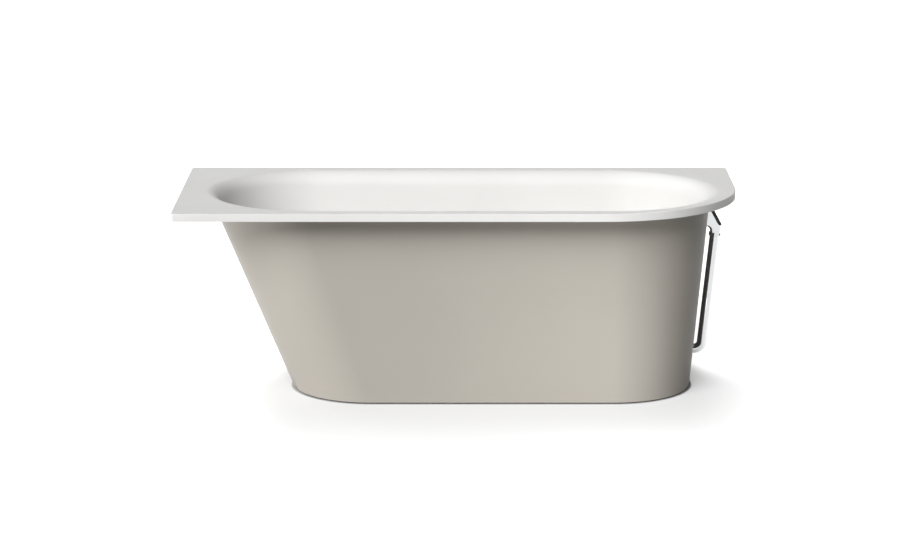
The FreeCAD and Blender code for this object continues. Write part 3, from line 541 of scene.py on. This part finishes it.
def holder_collar():
    """Collar round the tube's end, with the hole of the set screw."""
    axis = Vector((rail_axis, 0, 0))
    foot, collar_top = holder_levels()[:2]
    edge = rail_collar_edge_round
    collar = bmesh.new()
    turns = [math.pi / 2 * step / edge_steps for step in range(edge_steps + 1)]
    profile = []
    for turn in turns:
        profile.append((holder_half - edge + edge * math.sin(turn), foot + edge - edge * math.cos(turn)))
    lathe(collar, axis, profile + [(holder_half, collar_top)])
    hole = bmesh.new()
    hole_end = holder_half + rail_collar_wall
    lathe(hole, Vector(), [(grub_hole_radius, rail_radius), (grub_hole_radius, hole_end)])
    turn = Matrix.Rotation(math.radians(grub_screw_angle), 4, "Z") @ Matrix.Rotation(math.pi / 2, 4, "Y")
    hole.transform(Matrix.Translation(axis + up * (foot + grub_screw_height)) @ turn)
    return bored(collar, hole)


def make_holder(material):
    mesh = holder_collar()
    holder_arm(mesh)
    mesh.transform(rail_frame())
    new_piece("rail_holder", mesh, material, ["rail_top_bracket"], sharp_angle=holder_crease_angle)


def make_rail(material):
    mesh = bmesh.new()
    tube_along(mesh, rail_path(holder_levels()[0] + rail_socket_depth), rail_radius)
    mesh.transform(rail_frame())
    new_piece("rail_pipe", mesh, material, ["rail_tube"])


# Materials

def new_material(name):
    material = bpy.data.materials.new(name)
    material.use_nodes = True
    return material, material.node_tree.nodes["Principled BSDF"]


def add_node(material, kind, **values):
    """New node in a material or a world, with settings and input values by name."""
    node = material.node_tree.nodes.new(kind)
    for key, value in values.items():
        if hasattr(node, key):
            setattr(node, key, value)
        else:
            node.inputs[key].default_value = value
    return node


def link(material, output, socket):
    material.node_tree.links.new(output, socket)


def noise(material, scale, detail=2.0):
    """Noise in metres, fixed to the object."""
    place = add_node(material, "ShaderNodeTexCoord")
    texture = add_node(material, "ShaderNodeTexNoise", Scale=scale, Detail=detail)
    link(material, place.outputs["Object"], texture.inputs["Vector"])
    return texture.outputs["Fac"]


def spread(material, value, low, high):
    """Maps a noise value to a range."""
    ramp = add_node(material, "ShaderNodeMapRange")
    ramp.inputs["From Min"].default_value = noise_low
    ramp.inputs["From Max"].default_value = noise_high
    ramp.inputs["To Min"].default_value = low
    ramp.inputs["To Max"].default_value = high
    link(material, value, ramp.inputs["Value"])
    return ramp.outputs["Result"]


def tint(material, value, dark, light):
    """Mixes two colours by a noise value."""
    mix = add_node(material, "ShaderNodeMix", data_type="RGBA")
    dark_end, light_end = [socket for socket in mix.inputs if socket.type == "RGBA"]
    dark_end.default_value = (*dark, 1)
    light_end.default_value = (*light, 1)
    link(material, spread(material, value, 0.0, 1.0), mix.inputs["Factor"])
    return [socket for socket in mix.outputs if socket.type == "RGBA"][0]


def bump(material, shader, value, strength, distance):
    node = add_node(material, "ShaderNodeBump", Strength=strength, Distance=distance)
    link(material, value, node.inputs["Height"])
    link(material, node.outputs["Normal"], shader.inputs["Normal"])


def finish_material(name, dark, light, tint_scale, roughness, rough_scale, bump_scale, bump_depth,
                    bump_strength, metallic=0.0, sheen=0.5):
    """Colour, gloss and relief that vary by noise at their own scales."""
    material, shader = new_material(name)
    link(material, tint(material, noise(material, tint_scale), dark, light), shader.inputs["Base Color"])
    gloss = spread(material, noise(material, rough_scale, detail=4.0), *roughness)
    link(material, gloss, shader.inputs["Roughness"])
    shader.inputs["Metallic"].default_value = metallic
    shader.inputs["Specular IOR Level"].default_value = sheen
    bump(material, shader, noise(material, bump_scale, detail=3.0), bump_strength, bump_depth)
    return material


def white_acrylic():
    return finish_material(
        "white_acrylic", dark=(0.845, 0.84, 0.825), light=(0.875, 0.87, 0.855), tint_scale=3.0,
        roughness=(0.32, 0.38), rough_scale=25.0, bump_scale=140.0, bump_depth=0.00015,
        sheen=0.3, bump_strength=0.06)


def greige_satin():
    return finish_material(
        "greige_satin", dark=(0.462, 0.433, 0.387), light=(0.482, 0.453, 0.405), tint_scale=2.5,
        roughness=(0.38, 0.46), rough_scale=40.0, bump_scale=900.0, bump_depth=0.0002,
        sheen=0.1, bump_strength=0.08)


def chrome():
    return finish_material(
        "chrome", dark=(0.69, 0.70, 0.705), light=(0.74, 0.75, 0.755), tint_scale=30.0,
        roughness=(0.03, 0.09), rough_scale=60.0, bump_scale=300.0, bump_depth=0.00005,
        metallic=1.0, bump_strength=0.03)


def zinc_steel():
    return finish_material(
        "zinc_steel", dark=(0.50, 0.51, 0.52), light=(0.68, 0.69, 0.70), tint_scale=120.0,
        roughness=(0.28, 0.48), rough_scale=90.0, bump_scale=500.0, bump_depth=0.0001,
        metallic=1.0, bump_strength=0.1)


def blackened_steel():
    return finish_material(
        "blackened_steel", dark=(0.014, 0.014, 0.015), light=(0.024, 0.024, 0.026), tint_scale=150.0,
        roughness=(0.35, 0.50), rough_scale=120.0, bump_scale=600.0, bump_depth=0.0001,
        bump_strength=0.1)


def brass():
    return finish_material(
        "brass", dark=(0.70, 0.50, 0.22), light=(0.80, 0.60, 0.30), tint_scale=60.0,
        roughness=(0.22, 0.36), rough_scale=80.0, bump_scale=400.0, bump_depth=0.0001,
        metallic=1.0, bump_strength=0.1)


def black_rubber():
    return finish_material(
        "black_rubber", dark=(0.012, 0.012, 0.012), light=(0.024, 0.024, 0.024), tint_scale=200.0,
        roughness=(0.65, 0.85), rough_scale=150.0, bump_scale=900.0, bump_depth=0.0003,
        bump_strength=0.3)


def black_plastic():
    return finish_material(
        "black_plastic", dark=(0.016, 0.016, 0.017), light=(0.028, 0.028, 0.030), tint_scale=80.0,
        roughness=(0.38, 0.52), rough_scale=120.0, bump_scale=1200.0, bump_depth=0.0002,
        bump_strength=0.2)


def grey_plastic():
    return finish_material(
        "grey_plastic", dark=(0.40, 0.41, 0.42), light=(0.47, 0.48, 0.49), tint_scale=60.0,
        roughness=(0.36, 0.50), rough_scale=100.0, bump_scale=900.0, bump_depth=0.0002,
        bump_strength=0.15)


def pipe_plastic():
    return finish_material(
        "pipe_plastic", dark=(0.62, 0.62, 0.60), light=(0.70, 0.70, 0.68), tint_scale=50.0,
        roughness=(0.34, 0.48), rough_scale=100.0, bump_scale=800.0, bump_depth=0.0002,
        bump_strength=0.15)


def adhesive():
    return finish_material(
        "adhesive", dark=(0.52, 0.50, 0.44), light=(0.66, 0.63, 0.56), tint_scale=90.0,
        roughness=(0.55, 0.75), rough_scale=120.0, bump_scale=300.0, bump_depth=0.001,
        bump_strength=0.5)


def chip_cells(material, scale, stretch):
    """Cells of uneven size, stretched along the board, each with a colour of its own."""
    place = add_node(material, "ShaderNodeTexCoord")
    mapping = add_node(material, "ShaderNodeMapping")
    mapping.inputs["Scale"].default_value = stretch
    link(material, place.outputs["Object"], mapping.inputs["Vector"])
    chips = add_node(material, "ShaderNodeTexVoronoi", Scale=scale)
    link(material, mapping.outputs["Vector"], chips.inputs["Vector"])
    split = add_node(material, "ShaderNodeSeparateColor")
    link(material, chips.outputs["Color"], split.inputs["Color"])
    return split.outputs


def chipboard():
    """Pressed wood chips: cells of several browns, each a little higher or lower."""
    material, shader = new_material("chipboard")
    cells = chip_cells(material, scale=170.0, stretch=(1.0, 1.7, 3.0))
    browns = add_node(material, "ShaderNodeValToRGB")
    browns.color_ramp.elements[0].color = (0.30, 0.19, 0.10, 1)
    browns.color_ramp.elements[1].color = (0.62, 0.46, 0.28, 1)
    link(material, cells["Red"], browns.inputs["Fac"])
    link(material, browns.outputs["Color"], shader.inputs["Base Color"])
    gloss = spread(material, noise(material, scale=300.0), low=0.7, high=0.9)
    link(material, gloss, shader.inputs["Roughness"])
    bump(material, shader, cells["Green"], strength=0.4, distance=0.0006)
    return material


# Stage

def feed(owner, socket, value):
    """Sets a socket to a number, or links it to another socket."""
    if isinstance(value, (int, float)):
        socket.default_value = value
    else:
        link(owner, value, socket)


def rising(owner, value, start, end, low, high):
    """Smooth step of a value between two levels."""
    rise = add_node(owner, "ShaderNodeMapRange", interpolation_type="SMOOTHSTEP")
    feed(owner, rise.inputs["Value"], value)
    feed(owner, rise.inputs["From Min"], start)
    feed(owner, rise.inputs["From Max"], end)
    feed(owner, rise.inputs["To Min"], low)
    feed(owner, rise.inputs["To Max"], high)
    return rise.outputs["Result"]


def combine(owner, operation, first, second):
    """Product or greater of two values."""
    joined = add_node(owner, "ShaderNodeMath", operation=operation)
    feed(owner, joined.inputs[0], first)
    feed(owner, joined.inputs[1], second)
    return joined.outputs[0]


def coordinate(owner, space, axis):
    """One coordinate of the place that is shaded."""
    place = add_node(owner, "ShaderNodeTexCoord")
    split = add_node(owner, "ShaderNodeSeparateXYZ")
    link(owner, place.outputs[space], split.inputs[0])
    return split.outputs[axis]


def ray_kinds(owner):
    """1 for rays from the camera, and 1 for those seen in gloss or through glass."""
    path = add_node(owner, "ShaderNodeLightPath")
    mirrored = combine(owner, "MAXIMUM", path.outputs["Is Glossy Ray"], path.outputs["Is Transmission Ray"])
    return path.outputs["Is Camera Ray"], mirrored


def off_foot(material, draw_in, share):
    """Distance on the floor off the apron's foot outline.

    The outline is drawn in at its ends and its front, and the distance counts with a share to the front.
    """
    left, right, front = apron_reach(0, apron_foot)
    middle = ((left + right) / 2, (front + apron_back) / 2, 0)
    core = ((right - left) / 2 - draw_in[0], (apron_back - front) / 2 - draw_in[1], 0)
    place = add_node(material, "ShaderNodeTexCoord")
    spot = place.outputs["Object"]
    steps = (
        ("SUBTRACT", middle),
        ("ABSOLUTE", None),
        ("SUBTRACT", core),
        ("MAXIMUM", (0, 0, 0)),
        ("MULTIPLY", (1, share, 0)),
    )
    for operation, value in steps:
        step = add_node(material, "ShaderNodeVectorMath", operation=operation)
        link(material, spot, step.inputs[0])
        if value:
            step.inputs[1].default_value = value
        spot = step.outputs["Vector"]
    away = add_node(material, "ShaderNodeVectorMath", operation="LENGTH")
    link(material, spot, away.inputs[0])
    return away.outputs["Value"]


def painted_shadow_lift(material, depth):
    """Glow of the floor as a painted shadow: low round the foot, where the real shadow falls too, and high
    further off.

    It rises sooner at the back, which paints light over the real shadow there.
    """
    corner = painted_shadow_corner
    # Distance off the foot that sets how far the painted shadow reaches
    away = off_foot(material, (corner, corner / painted_shadow_front_share), painted_shadow_front_share)
    to_back = (depth, painted_shadow_back_start, painted_shadow_back_end)
    reach = rising(material, *to_back, corner + painted_shadow_reach, corner + painted_shadow_back_reach)
    far = rising(material, *to_back, floor_far, 1.0)
    return rising(material, away, corner, reach, painted_shadow_floor_lift, far)


def floor_glow_painted_shadow(material):
    """Glow of the floor: none under the bath, which paints a dark contact line at the foot, and its lift in
    the open, a painted shadow round the foot.
    """
    edge = apron_foot_radius
    away = off_foot(material, (edge, edge), 1)
    # No glow inside the foot outline: a painted dark contact line along the foot
    clear = rising(material, away, edge + painted_contact_start, edge + painted_contact_end, 0.0, 1.0)
    depth = coordinate(material, "Object", "Y")
    open_floor = combine(material, "MAXIMUM", clear, rising(material, depth, 0, apron_back, 0.0, 1.0))
    strength = combine(material, "MULTIPLY", painted_shadow_lift(material, depth), open_floor)
    glow = add_node(material, "ShaderNodeEmission")
    link(material, strength, glow.inputs["Strength"])
    return glow.outputs[0]


def diffuse(material, level):
    """Matt grey of one level."""
    shader = add_node(material, "ShaderNodeBsdfDiffuse")
    shader.inputs["Color"].default_value = (level, level, level, 1)
    return shader.outputs[0]


def floor_material():
    """White floor that keeps its real shadow, with a painted shadow round the foot: lifted to white where it
    is seen, dim for light that bounces.
    """
    material, shader = new_material("floor_white")
    nodes = material.node_tree.nodes
    nodes.remove(shader)
    lifted = add_node(material, "ShaderNodeAddShader")
    link(material, diffuse(material, floor_pale), lifted.inputs[0])
    link(material, floor_glow_painted_shadow(material), lifted.inputs[1])
    choice = add_node(material, "ShaderNodeMixShader")
    link(material, combine(material, "MAXIMUM", *ray_kinds(material)), choice.inputs["Fac"])
    link(material, diffuse(material, floor_dim), choice.inputs[1])
    link(material, lifted.outputs[0], choice.inputs[2])
    link(material, choice.outputs[0], nodes["Material Output"].inputs["Surface"])
    return material


def make_floor():
    mesh = bmesh.new()
    corners = ((-1, -1), (1, -1), (1, 1), (-1, 1))
    mesh.faces.new([mesh.verts.new((x * floor_half, y * floor_half, 0)) for x, y in corners])
    data = bpy.data.meshes.new("floor")
    mesh.to_mesh(data)
    mesh.free()
    floor = bpy.data.objects.new("floor", data)
    data.materials.append(floor_material())
    bpy.context.scene.collection.objects.link(floor)


def make_world():
    """White to the camera. In gloss and glass a white backdrop, and a dim studio over its top edge."""
    world = bpy.data.worlds.new("studio")
    bpy.context.scene.world = world
    world.use_nodes = True
    background = world.node_tree.nodes["Background"]
    background.inputs["Color"].default_value = (1, 1, 1, 1)
    rise = coordinate(world, "Generated", "Z")
    backdrop = rising(world, rise, backdrop_full, backdrop_top, 1.0, studio_dim)
    camera_ray, mirrored_ray = ray_kinds(world)
    mirrored = combine(world, "MULTIPLY", mirrored_ray, backdrop)
    seen = combine(world, "MAXIMUM", camera_ray, mirrored)
    level = combine(world, "MAXIMUM", seen, world_light)
    link(world, level, background.inputs["Strength"])


def lamp_direction(turn, rise):
    """Direction to a lamp: turn from the front, positive to the right, and rise over the floor."""
    around, above = math.radians(turn), math.radians(rise)
    return Vector((math.sin(around) * math.cos(above), -math.cos(around) * math.cos(above), math.sin(above)))


def place_lamp(name, lamp, towards, location):
    """Points a lamp back at the bath, and keeps it out of mirrored views."""
    stand = bpy.data.objects.new(name, lamp)
    stand.visible_glossy = False
    stand.location = location
    stand.rotation_euler = (-towards).to_track_quat("-Z", "Y").to_euler()
    bpy.context.scene.collection.objects.link(stand)


def make_sun(name, turn, rise, spread_angle, strength):
    """Far lamp with a broad face, for soft shadows without falloff."""
    lamp = bpy.data.lights.new(name, "SUN")
    lamp.angle = math.radians(spread_angle)
    lamp.energy = strength
    towards = lamp_direction(turn, rise)
    place_lamp(name, lamp, towards, towards * sun_distance)


def make_strip(name, turn, distance, width, strip_height, power):
    """Low lamp that lights the apron from below the level of the rim."""
    lamp = bpy.data.lights.new(name, "AREA")
    lamp.shape = "RECTANGLE"
    lamp.size = width
    lamp.size_y = strip_height
    lamp.energy = power
    towards = lamp_direction(turn, 0)
    place_lamp(name, lamp, towards, towards * distance + up * strip_level)


def make_lamps():
    make_sun("key", turn=-30, rise=41, spread_angle=42, strength=3.15)
    make_sun("front", turn=-10, rise=32, spread_angle=26, strength=0.2)
    make_sun("back", turn=-140, rise=30, spread_angle=26, strength=0.7)
    make_strip("low_left", turn=-80, distance=4.0, width=1.6, strip_height=0.5, power=106)
    make_strip("low_right", turn=29, distance=1.2, width=0.4, strip_height=0.2, power=2.1)


def make_camera():
    data = bpy.data.cameras.new("camera")
    data.sensor_width = sensor_width
    data.lens = focal_pixels * sensor_width / photo_width
    camera = bpy.data.objects.new("camera", data)
    camera.location = camera_place
    camera.rotation_euler = (math.radians(90 - camera_pitch), 0, 0)
    bpy.context.scene.collection.objects.link(camera)
    bpy.context.scene.camera = camera


def dress_nodes(materials):
    """Gives every CAD node the finish of its slot."""
    for part in frame["record"]["subparts"]:
        node = frame["nodes"][part["node"]]
        node.data.materials.clear()
        node.data.materials.append(materials[part["material_slot"]])


def main():
    bpy.context.scene.view_settings.view_transform = "Standard"
    makers = (
        white_acrylic, greige_satin, chrome, zinc_steel, brass, black_rubber,
        black_plastic, grey_plastic, pipe_plastic, blackened_steel, adhesive, chipboard,
    )
    materials = {maker.__name__: maker() for maker in makers}
    dress_nodes(materials)
    make_tub(materials["white_acrylic"])
    make_apron(materials["greige_satin"])
    make_rail(materials["chrome"])
    make_holder(materials["chrome"])
    make_floor()
    make_world()
    make_lamps()
    make_camera()


main()
